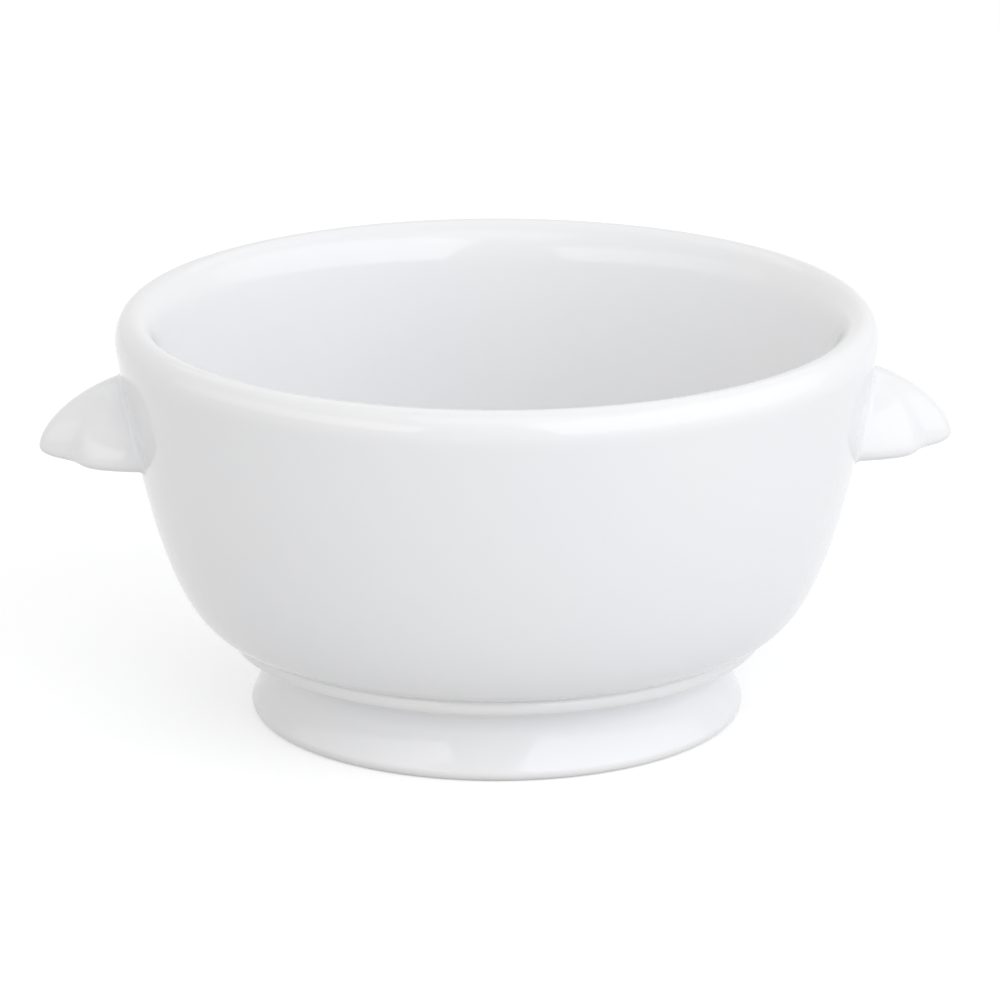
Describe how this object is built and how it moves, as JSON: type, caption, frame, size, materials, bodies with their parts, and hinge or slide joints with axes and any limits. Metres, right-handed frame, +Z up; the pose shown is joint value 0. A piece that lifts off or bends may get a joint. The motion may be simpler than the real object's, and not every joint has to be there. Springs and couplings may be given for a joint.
{
  "type": "onion soup bowl",
  "caption": "Footed white porcelain soup bowl with a rounded lip, a steep wall that rounds in to a beaded ring foot, and lobed lug handles on opposite sides.",
  "frame": {"origin": "centre of the foot's resting ring, on the table", "axes": "+X to the right lug, +Y to the back of the bowl, +Z up along the bowl's axis"},
  "size_m": [0.1612, 0.1338, 0.0725],
  "materials": {
    "bowl_glaze": "clear glossy glaze on white porcelain",
    "foot_glaze": "clear glossy glaze, wiped off the resting ring",
    "lug_glaze": "clear glossy glaze on white porcelain",
    "luting_slip": "fired slip under the glaze"
  },
  "bodies": {
    "root": {"bowl_body": "bowl_glaze", "foot_ring": "foot_glaze", "foot_slip": "luting_slip", "right_lug": "lug_glaze", "right_lug_slip": "luting_slip", "left_lug": "lug_glaze", "left_lug_slip": "luting_slip"}
  },
  "joints": []
}
